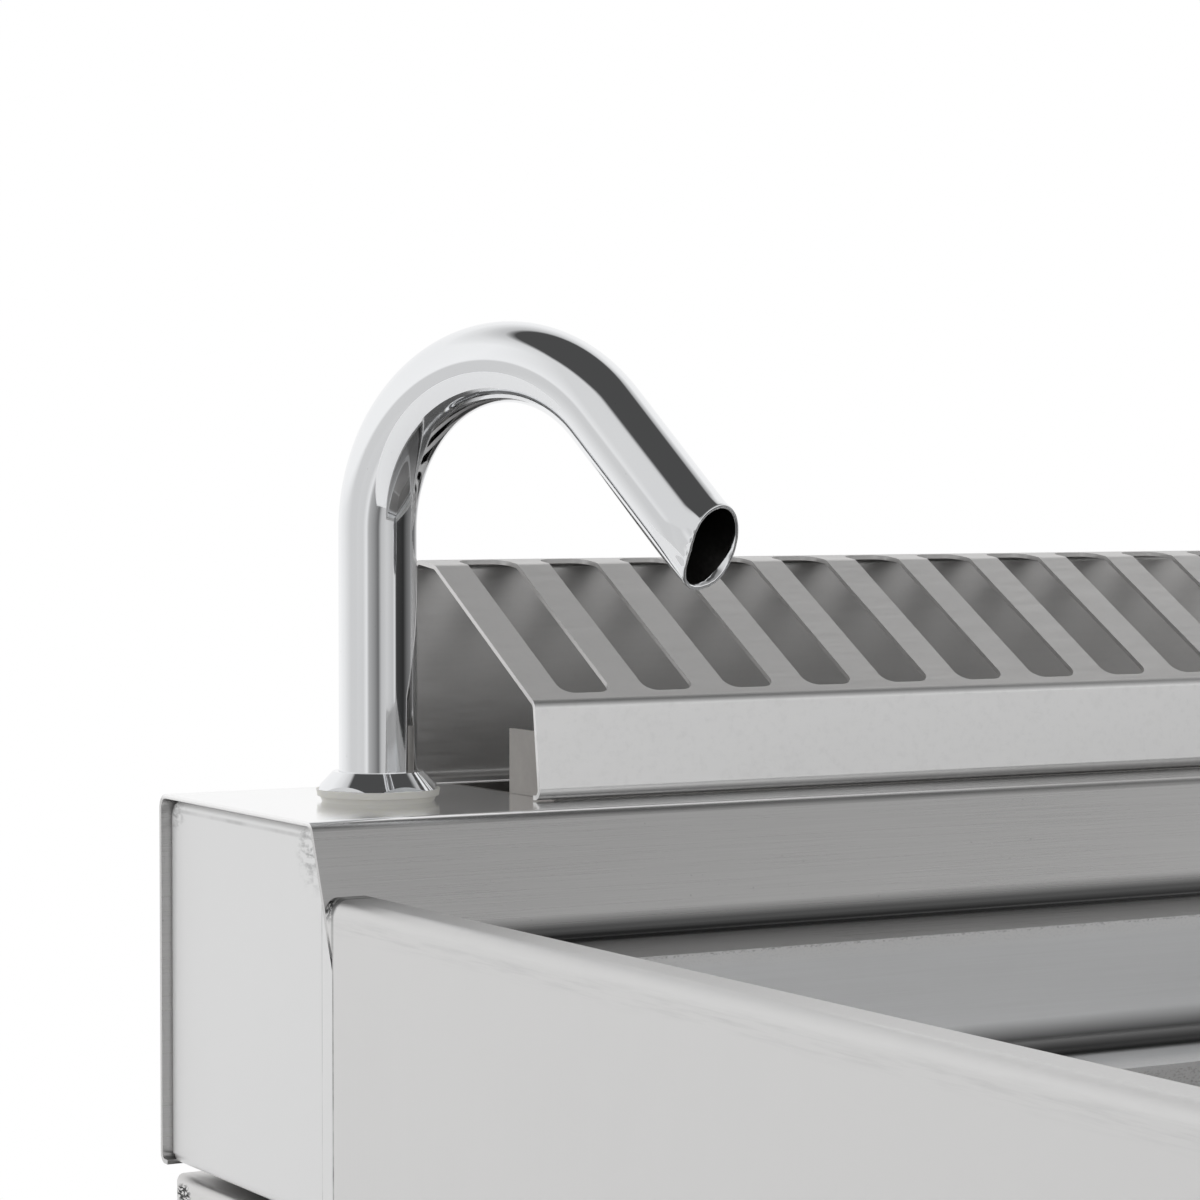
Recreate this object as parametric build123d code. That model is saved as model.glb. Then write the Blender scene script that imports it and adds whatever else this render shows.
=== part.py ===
from build123d import *
import math
import os

# Counter-top water bath with a swivelling fill spout: a folded stainless rear box with a
# slotted flue grille, a stepped basin with a heated well, and a gas burner in the housing below.
# Sizes are in mm. "across" is measured from the left end, "forward" from the rear wall.

# ---- driving dimensions ----
width = 400.0
depth = 700.0
deck_height = 337.5
sheet = 1.2
weld_gap = 0.05
inside_bend = 1.5

box_depth = 93.0
slope_run = 11.5
module_drop = 97.0
rear_bend = 4.0
front_bend = 3.5
foot_bend = 3.0
box_return = 4.5
cap_inset = 2.0

rim_drop = 17.5
rim_width = 12.0
rim_roll = 4.0
apron_return = 10.0

ledge_drop = 31.0
ledge_width = 37.5
side_ledge = 38.0
step_drop = 32.0
lower_ledge = 29.0
side_lower_ledge = 12.0
front_lower_ledge = 60.0
basin_corner = 20.0
basin_bend = 4.0

well_depth = 150.0
well_corner = 35.0
well_floor_bend = 15.0
tank_sheet = 1.5

housing_gap = 3.0
housing_inset = 2.5
housing_height = 197.5
housing_edge = 3.0
housing_flange = 12.0
panel_return = 13.0

tap_across = 40.0
tap_forward = 48.0
spout_tube = 10.0
spout_wall = 1.0
riser_height = 68.9
bend_radius = 42.0
bend_angle = 136.6
nozzle_length = 45.0
mouth_tilt = 27.0
spout_heading = 66.9
bead_width = 1.6
bead_height = 0.9
running_fit = 0.05

washer_radius = 15.8
washer_foot = 14.3
washer_height = 3.2
nut_radius = 15.8
nut_top_radius = 11.6
nut_height = 4.4
nut_flats = 29.4
spigot_height = 5.4
spigot_wall = 1.6
shank_length = 38.0
shank_flange = 17.0

grille_left = 73.0
grille_front = 74.0
grille_height = 60.5
grille_fold_height = 25.0
grille_fold_set = 3.0
grille_slope_run = 58.5
grille_rear = 3.5
grille_foot = 4.0
slot_count = 12
slot_width = 15.0
slot_pitch = 25.0
slot_margin = 10.0
slot_corner = 4.0
slot_fold_gap = 4.0
slot_top_reach = 8.0

flue_margin = 6.0
flue_front = 70.0
flue_rear = 13.0
tab_height = 17.0
tab_length = 24.0

chamber_gap = 9.0
chamber_height = 72.0
chamber_floor_drop = 262.0

service_drop = 272.0
valve_drop = 165.0
water_across = 75.0
gas_across = 325.0
pipe_radius = 6.0
pipe_bend = 15.0
thread_g12 = 10.48
thread_g34 = 13.22
inlet_reach = 25.0

burner_radius = 16.0
burner_spacing = 120.0
burner_drop = 240.0
burner_ports = 22

knob_radius = 23.0
knob_height = 24.0
spindle_radius = 4.0
push_travel = 4.0
button_radius = 6.0
button_travel = 5.0

drain_drop = 270.0
drain_radius = 10.5
drain_bore = 8.0
ball_radius = 13.0
drain_reach = 90.0
lever_length = 72.0

foot_inset_across = 40.0
foot_inset_forward = 50.0
foot_radius = 20.0
stud_radius = 5.0

# ---- heights above the floor and places worked out from them ----
left = -width / 2
rear = (depth + drain_reach - inlet_reach) / 2
deck = deck_height
rim = deck - rim_drop
ledge = deck - ledge_drop
lower = ledge - step_drop
well_floor = lower - well_depth
module_base = deck - module_drop
housing_top = module_base - housing_gap
housing_base = housing_top - housing_height
slope_foot = box_depth + slope_run
basin_rear = slope_foot + ledge_width
basin_left = rim_width + side_ledge
basin_front = depth - rim_width - side_ledge
well_left = basin_left + side_lower_ledge
well_rear = basin_rear + lower_ledge
well_front = basin_front - front_lower_ledge
valve_height = deck - valve_drop
service_height = deck - service_drop
burner_height = deck - burner_drop
drain_height = deck - drain_drop
chamber_floor = deck - chamber_floor_drop
panel_face = depth - housing_inset
middle = width / 2
tray_top = housing_base + 2 * sheet + weld_gap

os.makedirs("parts", exist_ok=True)


def save(name, shape):
    """Writes one sub-part."""
    solids = shape.solids()
    export_step(solids[0] if len(solids) == 1 else Compound(children=solids), f"parts/{name}.step")


def common(shape, other):
    """What two shapes share, as one part."""
    return Part() + shape.intersect(other)


def place(across, forward, height):
    """The point at a distance from the left end, from the rear wall and above the floor."""
    return Vector(left + across, rear - forward, height)


def block(across, forward, height):
    """A box between two distances from the left end, two from the rear wall and two heights."""
    size = (across[1] - across[0], forward[1] - forward[0], height[1] - height[0])
    centre = place(sum(across) / 2, sum(forward) / 2, sum(height) / 2)
    return Pos(*centre) * Box(*size)


def rounded_block(across, forward, height, corner):
    """A block with its four upright edges rounded."""
    shape = block(across, forward, height)
    return fillet(shape.edges().filter_by(Axis.Z), corner)


def folded_across(points, bends, start, stop, side=Side.LEFT, thickness=sheet):
    """A sheet folded along (forward, height) points, running from one distance across to another."""
    line = FilletPolyline(*[(rear - f, z) for f, z in points], radius=bends)
    section = Face(line.offset_2d(thickness, side=side))
    return extrude(Plane.YZ.offset(left + start) * section, amount=stop - start, dir=(1, 0, 0))


def tube(points, radius, bend, bore=0.0):
    """A pipe along straight runs joined by bends."""
    line = FilletPolyline(*points, radius=bend) if len(points) > 2 else Line(*points)
    path = Wire(line.edges())
    start = Plane(origin=path @ 0, z_dir=path % 0)
    section = start * Circle(radius)
    if bore:
        section -= start * Circle(bore)
    return sweep(section, path=path)


def to_front(across, forward, height):
    """A place whose own +Z points to the front and whose own +Y points up."""
    return Pos(*place(across, forward, height)) * Rot(90, 0, 0)


def upright(across, forward, height):
    """A place with its own axis pointing up."""
    return Pos(*place(across, forward, height))


def rod(radius, low, high):
    """A cylinder between two stations on its own axis."""
    return Pos(0, 0, (low + high) / 2) * Cylinder(radius, high - low)


def hexagon(flats, low, high):
    """A hexagonal prism between two stations on its own axis."""
    return Pos(0, 0, low) * extrude(RegularPolygon(flats / 2, 6, major_radius=False), amount=high - low)


def mirrored(shape):
    """The same piece at the opposite end."""
    return mirror(shape, about=Plane.YZ)


# ---- rear box: one sheet folded round the deck, the sloping face and the first ledge ----
tap_hole = 13.3
flue_corner = 0.8
flue_left = grille_left + flue_margin
grille_length = slot_count * slot_pitch + slot_margin
flue_right = grille_left + grille_length - flue_margin


def rear_box_shell():
    outline = [
        (box_return, module_base),
        (0, module_base),
        (0, deck),
        (box_depth, deck),
        (slope_foot, ledge),
        (basin_rear - sheet, ledge),
    ]
    bends = [inside_bend + sheet, rear_bend, front_bend, foot_bend]
    shell = folded_across(outline, bends, 0, width)
    beside_rims = (slope_foot, basin_rear)
    for side in ((-1, rim_width), (width - rim_width, width + 1)):
        shell -= block(side, beside_rims, (ledge - 2 * sheet, ledge + foot_bend))
    shell -= upright(tap_across, tap_forward, deck) * rod(tap_hole, -3 * sheet, sheet)
    through = (deck - 3 * sheet, deck + sheet)
    return shell - rounded_block((flue_left, flue_right), (flue_rear, flue_front), through, flue_corner)


def box_inside(inset, front):
    """The area inside the rear box seen from its end, drawn in from the folded sheet by an inset."""
    edge = front + inset
    edge_height = deck - (edge - box_depth) * ledge_drop / slope_run
    corners = [
        (0, module_base - inset),
        (0, deck),
        (box_depth, deck),
        (edge, edge_height),
        (edge, module_base - inset),
    ]
    outline = Polyline(*[(rear - f, z) for f, z in corners], close=True)
    return offset(make_face(outline), -inset, kind=Kind.INTERSECTION) if inset else make_face(outline)


cap_flange = 8.0
cap_bend = 3.0
cap_corner = 5.0
cap_front = 96.0
cap_joggle = 2.5


def rounded_top(shape, radius):
    """An end-on slice of the rear box with its two upper corners rounded."""
    corners = shape.edges().filter_by(Axis.X).sort_by(Axis.Z)[-3:]
    return fillet(corners.sort_by(Axis.Y)[1:], radius)


def end_cap():
    """The left end of the rear box: a shallow pressed dish with a joggled strip for the apron."""
    inset = sheet + weld_gap
    face = Plane.YZ.offset(left + cap_inset)
    dish = rounded_top(extrude(face * box_inside(inset, cap_front), amount=cap_flange), cap_corner)
    dish = fillet(dish.faces().sort_by(Axis.X)[0].edges().sort_by(Axis.Y)[1:], cap_bend)
    hollow = box_inside(inset + sheet, cap_front + 2 * sheet)
    recess = extrude(face.offset(sheet) * hollow, amount=cap_flange)
    dish -= rounded_top(recess, cap_corner - sheet)
    return_top = module_base + sheet + inside_bend
    dish -= block((0, cap_inset + cap_flange), (0, box_return + weld_gap), (0, return_top))
    dish += block((cap_inset + cap_bend, cap_inset + cap_flange), (box_return + cap_bend, cap_front),
                  (module_base, module_base + sheet))
    steps = [
        (cap_inset, cap_front - cap_joggle),
        (cap_inset, cap_front),
        (0, cap_front + cap_joggle),
        (0, slope_foot - weld_gap),
    ]
    line = FilletPolyline(*[(left + a, rear - f) for a, f in steps], radius=inside_bend)
    strip = Pos(0, 0, module_base) * extrude(Face(line.offset_2d(sheet, side=Side.LEFT)), amount=module_drop)
    bounds = extrude(Plane.YZ.offset(left - 1) * box_inside(inset, slope_foot - weld_gap), amount=cap_flange)
    return dish + common(strip, rounded_top(bounds, cap_corner))


# ---- worktop: rolled rims and aprons on three sides, then the stepped basin and the well ----
apron_corner = 8.0
rim_lip = 1.1


def worktop_rim():
    """The apron, the rolled rim and the rim's inner wall, round the left, the front and the right."""
    start = box_depth / 2
    outer = rounded_block((0, width), (start, depth), (module_base, rim), apron_corner)
    outer = fillet(outer.faces().sort_by(Axis.Z)[-1].edges(), rim_roll)
    inner = rounded_block((sheet, width - sheet), (start, depth - sheet), (module_base - 1, rim - sheet),
                          apron_corner - sheet)
    inner = fillet(inner.faces().sort_by(Axis.Z)[-1].edges(), rim_roll - sheet)
    across = (rim_width, width - rim_width)
    forward = (0, depth - rim_width)
    recess = rounded_block(across, forward, (module_base - 1, rim + 1), basin_corner)
    wall_across = (rim_width - sheet, width - rim_width + sheet)
    wall_forward = (0, depth - rim_width + sheet)
    wall = rounded_block(wall_across, wall_forward, (ledge - sheet, rim), basin_corner + sheet)
    foot = rounded_block((0, width), (start, depth), (module_base, module_base + sheet), apron_corner)
    foot -= block((apron_return, width - apron_return), (0, depth - apron_return),
                  (module_base - 1, rim))
    wall -= block((-1, width + 1), (-1, start), (module_base, rim + 1))
    ring = outer - inner + wall + foot - recess
    lip = ring.edges().filter_by_position(Axis.Z, rim - 0.01, rim + 0.01)
    lip = lip.filter_by_position(Axis.X, left + rim_width - 0.1, left + width - rim_width + 0.1)
    lip = lip.filter_by_position(Axis.Y, rear - depth + rim_width - 0.1, rear - start - 1)
    ring = fillet(lip, rim_lip)
    behind = extrude(Plane.YZ.offset(left - 1) * box_inside(0, slope_foot), amount=width + 2)
    return ring - behind - rear_box_shell()


def corner_wedge():
    """The plan area on the side-apron side of the left front mitre."""
    reach = basin_corner + rim_width
    points = [(-1, depth + 1), (reach, depth - reach), (-1, depth - reach)]
    return make_face(Polyline(*[(left + a, rear - f) for a, f in points], close=True))


def aprons():
    """The worktop rim parted at its two welded front mitres."""
    ring = worktop_rim()
    reach = basin_corner + rim_width
    wedge = Pos(0, 0, module_base - 1) * extrude(corner_wedge(), amount=module_drop)
    side = block((-1, reach), (box_depth / 2, depth - reach), (module_base - 1, deck)) + wedge
    left_side = common(ring, side)
    right_side = common(ring, mirrored(side))
    front = ring - side - mirrored(side)
    return left_side, right_side, front


def worktop_basin():
    """The first ledge on three sides, the step down and the lower ledge with the well opening."""
    start = box_depth / 2
    plate = rounded_block((rim_width, width - rim_width), (start, depth - rim_width),
                          (ledge - sheet, ledge), basin_corner)
    plate -= block((-1, width + 1), (0, basin_rear - sheet + weld_gap), (lower, deck))
    across = (basin_left, width - basin_left)
    pan_forward = (basin_rear - sheet + weld_gap, basin_front + sheet)
    pan = rounded_block((across[0] - sheet, across[1] + sheet), pan_forward, (lower - sheet, ledge),
                        basin_corner + sheet)
    pan = fillet(pan.faces().sort_by(Axis.Z)[0].edges(), basin_bend + sheet)
    hollow = rounded_block(across, (basin_rear, basin_front), (lower, ledge + 1), basin_corner)
    hollow = fillet(hollow.faces().sort_by(Axis.Z)[0].edges(), basin_bend)
    opening = rounded_block((well_left, width - well_left), (well_rear, well_front),
                            (lower - 2 * sheet, lower + 1), well_corner)
    return plate + pan - hollow - opening


drain_forward = well_front - 45.0


def well_tank():
    """The deep-drawn tank, welded under the lower ledge, with the drain hole in its floor."""
    inner_across = (well_left, width - well_left)
    outer_across = (well_left - tank_sheet, width - well_left + tank_sheet)
    outer = rounded_block(outer_across, (well_rear - tank_sheet, well_front + tank_sheet),
                          (well_floor - tank_sheet, lower - sheet), well_corner + tank_sheet)
    outer = fillet(outer.faces().sort_by(Axis.Z)[0].edges(), well_floor_bend + tank_sheet)
    inner = rounded_block(inner_across, (well_rear, well_front), (well_floor, lower), well_corner)
    inner = fillet(inner.faces().sort_by(Axis.Z)[0].edges(), well_floor_bend)
    drain = upright(middle, drain_forward, well_floor) * rod(drain_radius, -2 * tank_sheet, tank_sheet)
    return outer - inner - drain


rest_gap = 1.5
rest_height = 8.0
rest_sheet = 1.5
rest_pitch = 22.0
rest_hole = 5.0


def basket_rest():
    """A perforated plate with turned-down edges that lies on the well floor."""
    margin = well_floor_bend + rest_gap
    across = (well_left + margin, width - well_left - margin)
    forward = (well_rear + margin, well_front - margin)
    heights = (well_floor + weld_gap, well_floor + rest_height)
    plate = rounded_block(across, forward, heights, well_corner / 2)
    inside_across = (across[0] + rest_sheet, across[1] - rest_sheet)
    inside_forward = (forward[0] + rest_sheet, forward[1] - rest_sheet)
    plate -= rounded_block(inside_across, inside_forward, (heights[0] - 1, heights[1] - rest_sheet),
                           well_corner / 2 - rest_sheet)
    columns = int((across[1] - across[0] - rest_pitch) / rest_pitch)
    rows = int((forward[1] - forward[0] - rest_pitch) / rest_pitch)
    holes = GridLocations(rest_pitch, rest_pitch, columns, rows)
    centre = place(sum(across) / 2, sum(forward) / 2, heights[1])
    drill = Sketch() + [spot * Circle(rest_hole) for spot in holes]
    return plate - Pos(*centre) * extrude(drill, amount=-3 * rest_sheet)


# ---- flue: duct from the burner space up through the deck, and the slotted grille over it ----
duct_gap = 0.3
branch_width = 220.0
branch_height = 46.0
branch_rise = 10.0
chamber_rear = well_rear - tank_sheet - chamber_gap - sheet
chamber_front = well_front + tank_sheet + chamber_gap + sheet


def flue_duct():
    """A sheet duct whose two end walls stand up past the deck as locating tabs for the grille."""
    across = (flue_left + duct_gap, flue_right - duct_gap)
    forward = (flue_rear + duct_gap, flue_front - duct_gap)
    inner_across = (across[0] + sheet, across[1] - sheet)
    inner_forward = (forward[0] + sheet, forward[1] - sheet)
    base = chamber_floor + branch_rise
    branch = (middle - branch_width / 2, middle + branch_width / 2)
    branch_inside = (branch[0] + sheet, branch[1] - sheet)
    duct = block(across, forward, (base, deck))
    duct += block(branch, (forward[1] - sheet, chamber_rear - duct_gap), (base, base + branch_height))
    duct -= block(inner_across, inner_forward, (base + sheet, deck + 1))
    duct -= block(branch_inside, (forward[1] - 2 * sheet, chamber_rear),
                  (base + sheet, base + branch_height - sheet))
    tab_forward = (forward[1] - tab_length, forward[1])
    duct += block((across[0], inner_across[0]), tab_forward, (deck, deck + tab_height))
    duct += block((inner_across[1], across[1]), tab_forward, (deck, deck + tab_height))
    return duct


grille_bend_height = 59.0
grille_seat = 0.3
grille_flange = 8.0
grille_bend = 3.0


def flue_grille():
    """One folded sheet: foot, front face, slotted slope, flat top, back wall and rear flange."""
    fold = (grille_front - grille_fold_set, deck + grille_fold_height)
    crest = (grille_front - grille_slope_run, deck + grille_bend_height)
    outline = [
        (grille_front - grille_foot, deck + grille_seat),
        (grille_front, deck + grille_seat),
        fold,
        crest,
        (grille_rear, deck + grille_height),
        (grille_rear, deck + grille_seat),
        (grille_rear + grille_flange, deck + grille_seat),
    ]
    bends = [inside_bend + sheet, grille_bend, grille_bend, inside_bend + sheet, inside_bend + sheet]
    end = grille_left + grille_length
    grille = folded_across(outline, bends, grille_left, end, side=Side.RIGHT)
    rise = math.atan2(crest[1] - fold[1], fold[0] - crest[0])
    slope_length = math.hypot(crest[1] - fold[1], fold[0] - crest[0])
    for number in range(slot_count):
        across = grille_left + slot_margin + slot_width / 2 + number * slot_pitch
        corner = place(across, fold[0], fold[1])
        slope = Plane(origin=corner, x_dir=(1, 0, 0), z_dir=(0, -math.sin(rise), math.cos(rise)))
        cut_length = slope_length - slot_fold_gap
        opening = Pos(0, slot_fold_gap + cut_length / 2) * Rectangle(slot_width, cut_length)
        opening = fillet(opening.vertices().sort_by(Axis.Y)[:2], slot_corner)
        grille -= extrude(slope * opening, amount=3 * sheet, both=True)
        top = place(across, crest[0], crest[1] - 3 * sheet)
        reach = Pos(0, slot_top_reach / 2 - 1) * Rectangle(slot_width, slot_top_reach + 2)
        reach = fillet(reach.vertices().sort_by(Axis.Y)[-2:], slot_corner)
        grille -= Pos(*top) * extrude(reach, amount=6 * sheet)
    return grille


# ---- fill spout: bent tube, collar nut, washer and the shank that clamps them to the deck ----
tap_top = deck + washer_height
spigot_radius = spout_tube + spigot_wall
bead_low = deck + spigot_height + running_fit
socket_depth = 14.0
seal_height = 2.0
ring_radius = 0.5
ring_low = -8.0


def spout_path():
    """The spout's centre line: riser, bend and nozzle, in the upright plane of its heading."""
    turn = math.radians(-spout_heading)
    reach = Vector(math.cos(turn), math.sin(turn), 0)
    foot = place(tap_across, tap_forward, 0)

    def station(out, height):
        return foot + reach * out + Vector(0, 0, height)

    def on_bend(angle):
        around = math.radians(180 - angle)
        out = bend_radius + bend_radius * math.cos(around)
        return station(out, deck + riser_height + bend_radius * math.sin(around))

    low = station(0, deck - socket_depth + running_fit)
    bend = ThreePointArc(on_bend(0), on_bend(bend_angle / 2), on_bend(bend_angle))
    riser = Line(low, bend @ 0)
    over_length = nozzle_length + 2 * spout_tube
    nozzle = Line(bend @ 1, bend @ 1 + (bend % 1) * over_length)
    return Wire([riser, bend, nozzle]), bend @ 1 + (bend % 1) * nozzle_length, bend % 1, reach


def fill_spout():
    """The chromed tube with its slanting mouth and the rolled bead that the collar nut holds down."""
    path, rim_centre, aim, reach = spout_path()
    start = Plane(origin=path @ 0, z_dir=(0, 0, 1))
    tubing = sweep(start * (Circle(spout_tube) - Circle(spout_tube - spout_wall)), path=path)
    outward = Vector(-aim.Z * reach.X, -aim.Z * reach.Y, math.hypot(aim.X, aim.Y))
    tilt = math.radians(mouth_tilt)
    mouth = Plane(origin=rim_centre, z_dir=aim * math.cos(tilt) + outward * math.sin(tilt))
    tubing -= mouth * Pos(0, 0, 2 * spout_tube) * Box(8 * spout_tube, 8 * spout_tube, 4 * spout_tube)
    bead = rod(spout_tube + bead_width, 0, bead_height)
    bead -= rod(spout_tube - spout_wall / 2, -1, bead_height + 1)
    return tubing + upright(tap_across, tap_forward, bead_low) * bead


def spout_washer():
    """The nylon washer: a flared rim over a narrower foot."""
    step = washer_height * 0.45
    foot_ring = Pos(0, 0, step / 2) * Cone(washer_foot, washer_foot + 0.6, step)
    rim_ring = Cone(washer_radius - 0.3, washer_radius, washer_height - step)
    rim_ring = Pos(0, 0, (step + washer_height) / 2) * rim_ring
    ring = foot_ring + rim_ring
    ring -= rod(spigot_radius + running_fit, -1, washer_height + 1)
    return upright(tap_across, tap_forward, deck) * ring


def spout_collar_nut():
    """The conical chromed nut: six shallow flats, screwed on the spigot, holding the spout's bead."""
    lip_low = bead_low + bead_height + running_fit - tap_top
    nut = Pos(0, 0, nut_height / 2) * Cone(nut_radius, nut_top_radius, nut_height)
    nut = common(nut, hexagon(nut_flats, 0, nut_height))
    nut -= rod(spigot_radius + running_fit, -1, lip_low)
    nut -= rod(spout_tube + running_fit, -1, nut_height + 1)
    return upright(tap_across, tap_forward, tap_top) * nut


def spout_shank():
    """The brass tail: a spigot through the deck, a flange under it and a threaded end for the pipe."""
    flange_top = -sheet - seal_height
    tail = rod(spigot_radius, -socket_depth - 4, spigot_height)
    tail += rod(shank_flange, flange_top - 4, flange_top)
    tail += rod(thread_g12, -shank_length, -socket_depth)
    tail -= rod(spout_tube + running_fit, -socket_depth, spigot_height + 1)
    tail -= rod(pipe_radius - 1, -shank_length - 1, 0)
    groove = spout_tube + 2 * ring_radius + running_fit
    tail -= rod(groove, ring_low, ring_low + 2 * ring_radius + 2 * running_fit)
    return upright(tap_across, tap_forward, deck) * tail


def deck_seal():
    """The rubber seal between the deck and the shank's flange."""
    ring = rod(shank_flange - 1, -sheet - seal_height, -sheet)
    return upright(tap_across, tap_forward, deck) * (ring - rod(spigot_radius + running_fit, -9, 1))


def spout_o_ring():
    """The O-ring in the shank's groove, round the foot of the tube."""
    ring = Torus(spout_tube + ring_radius + running_fit, ring_radius)
    return upright(tap_across, tap_forward, deck + ring_low + ring_radius + running_fit) * ring


# ---- lower housing: folded side, rear and front panels on a base tray ----
panel_front = panel_face - panel_return - duct_gap


def side_panel():
    """The left side panel: a sheet with all four edges turned inwards."""
    across = (housing_inset, housing_inset + housing_flange)
    forward = (housing_inset, panel_front)
    panel = block(across, forward, (housing_base, housing_top))
    panel = fillet(panel.faces().sort_by(Axis.X)[0].edges(), housing_edge)
    hollow = block((across[0] + sheet, across[1] + 1), (forward[0] + sheet, forward[1] - sheet),
                   (housing_base + sheet, housing_top - sheet))
    return panel - fillet(hollow.faces().sort_by(Axis.X)[0].edges(), housing_edge - sheet)


vent_count = 9
vent_width = 5.0
vent_pitch = 14.0
fitting_fit = 0.3


def rear_panel():
    """The back plate, behind the side panels' flanges, with vents and the two service holes."""
    face = housing_inset + sheet + weld_gap
    across = (housing_inset + housing_edge, width - housing_inset - housing_edge)
    panel = block(across, (face, face + sheet), (tray_top + weld_gap, housing_top - sheet - 1))
    for number in range(vent_count):
        offset_across = (number - (vent_count - 1) / 2) * vent_pitch
        slot = Rot(90, 0, 0) * extrude(SlotOverall(60, vent_width, rotation=90), amount=9, both=True)
        panel -= Pos(*place(middle + offset_across, face, housing_top - 60)) * slot
    for across_at, thread in ((water_across, thread_g34), (gas_across, thread_g12)):
        hole = to_front(across_at, face, service_height) * rod(thread + fitting_fit, -9, 9)
        panel -= hole
    return panel


neck_radius = 7.0
button_collar = 10.0
panel_hole_fit = 0.3


def control_panel():
    """The front panel, a tray open to the back, drilled for the spindles, button and drain."""
    across = (housing_inset, width - housing_inset)
    forward = (panel_face - panel_return, panel_face)
    panel = block(across, forward, (housing_base, housing_top))
    panel = fillet(panel.faces().sort_by(Axis.Y)[0].edges(), housing_edge)
    hollow = block((across[0] + sheet, across[1] - sheet), (forward[0] - 1, forward[1] - sheet),
                   (housing_base + sheet, housing_top - sheet))
    panel -= fillet(hollow.faces().sort_by(Axis.Y)[0].edges(), housing_edge - sheet)
    holes = [
        (water_across, valve_height, neck_radius),
        (gas_across, valve_height, neck_radius),
        (middle, valve_height, igniter_radius),
        (middle, drain_height, drain_radius),
    ]
    for across_at, height, radius in holes:
        drill = to_front(across_at, panel_face, height) * rod(radius + panel_hole_fit, -9, 9)
        panel -= drill
    return panel


def foot_places():
    """Where the four feet stand, by name."""
    places = {}
    for end, forward in (("front", depth - foot_inset_forward), ("rear", foot_inset_forward)):
        for side, across in (("left", foot_inset_across), ("right", width - foot_inset_across)):
            places[f"foot_{end}_{side}"] = (across, forward)
    return places


def base_tray():
    """The flat tray on the side panels' lower flanges, drilled for the feet."""
    tray = block((housing_inset + housing_edge, width - housing_inset - housing_edge),
                 (housing_inset + 2 * sheet, panel_front - sheet - weld_gap),
                 (tray_top - sheet, tray_top))
    for across, forward in foot_places().values():
        tray -= upright(across, forward, tray_top) * rod(stud_radius + 1, -9, 9)
    return tray


bush_height = 20.0
stud_fit = 0.05
foot_gap = 0.3


def foot_bushes():
    """Four threaded bushes welded on the tray, which the feet screw into."""
    bushes = Part()
    for across, forward in foot_places().values():
        bush = rod(stud_radius + 5, 0, bush_height) - rod(stud_radius + stud_fit, -1, bush_height + 1)
        bushes += upright(across, forward, tray_top) * bush
    return bushes


def foot(across, forward):
    """A screw-in foot: a wide pad with a rounded edge, a waisted collar and a threaded stud."""
    collar_top = housing_base + sheet - foot_gap
    pad = rod(foot_radius, 0, 9)
    pad = fillet(pad.edges().filter_by(GeomType.CIRCLE), 2.5)
    pad += Pos(0, 0, 14) * Cone(foot_radius - 3, foot_radius - 7, 12)
    pad += rod(foot_radius - 7, 18, collar_top)
    pad += rod(stud_radius, 10, tray_top + bush_height)
    return upright(across, forward, 0) * pad


spacer_count = 4


def spacers():
    """Blocks between the worktop's turned-in foot and the side panels' top flanges."""
    blocks = Part()
    low = housing_inset + sheet + 1
    for across in ((low, apron_return), (width - apron_return, width - low)):
        for number in range(spacer_count):
            forward = slope_foot + 20 + number * (depth - slope_foot - 80) / (spacer_count - 1)
            blocks += block(across, (forward, forward + 15), (housing_top, module_base))
    return blocks


# ---- burner space: skirt round the tank, two burner tubes, injectors, pilot and spark ----
burner_front = chamber_front + 6.0
burner_rear = chamber_rear + 22.0
ramp_places = (middle - burner_spacing / 2, middle + burner_spacing / 2)
manifold_radius = 7.0
manifold_setback = 42.5
manifold_forward = panel_face - manifold_setback
manifold_start = gas_across - 50.0


def combustion_chamber():
    """The skirt round the tank's lower half, closed at the top round the tank, open below."""
    chamber_left = well_left - tank_sheet - chamber_gap - sheet
    outer_across = (chamber_left, width - chamber_left)
    forward = (chamber_rear, chamber_front)
    top = chamber_floor + chamber_height
    skirt = block(outer_across, forward, (chamber_floor, top))
    skirt -= block((outer_across[0] + sheet, outer_across[1] - sheet),
                   (forward[0] + sheet, forward[1] - sheet), (chamber_floor - 1, top - sheet))
    fit = tank_sheet + duct_gap
    skirt -= rounded_block((well_left - fit, width - well_left + fit), (well_rear - fit, well_front + fit),
                           (well_floor, top + 1), well_corner + fit)
    exhaust = branch_width / 2 - sheet
    skirt -= block((middle - exhaust, middle + exhaust), (chamber_rear - 1, chamber_rear + 2 * sheet),
                   (chamber_floor + branch_rise + sheet, chamber_floor + branch_rise + branch_height - sheet))
    for across in ramp_places:
        skirt -= to_front(across, chamber_front, burner_height) * rod(burner_radius + duct_gap, -9, 9)
    notch = (middle - 40, middle + 40)
    lip = (chamber_front - 9, chamber_front + 9)
    return skirt - block(notch, lip, (chamber_floor - 1, chamber_floor + 14))


def burner_tube(across):
    """One burner tube with a line of cross slots along its top and an open front for air."""
    length = burner_front - burner_rear
    bar = rod(burner_radius, 0, length) - rod(burner_radius - sheet, sheet, length + 1)
    pitch = (length - 60) / burner_ports
    for number in range(burner_ports):
        slot = Pos(0, burner_radius, 25 + (number + 0.5) * pitch) * Box(burner_radius, burner_radius / 2, 2.2)
        bar -= slot
    return to_front(across, burner_rear, burner_height) * bar


def burner_brackets():
    """Two angles that carry the burner tubes' rear ends on the tray."""
    brackets = Part()
    for across in ramp_places:
        post = block((across - 12, across + 12), (burner_rear + 10, burner_rear + 10 + 2 * sheet),
                     (tray_top, burner_height))
        foot_plate = block((across - 12, across + 12), (burner_rear + 10, burner_rear + 28),
                           (tray_top, tray_top + sheet))
        saddle = to_front(across, burner_rear, burner_height) * rod(burner_radius, -5, 60)
        brackets += post + foot_plate - saddle
    return brackets


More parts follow.
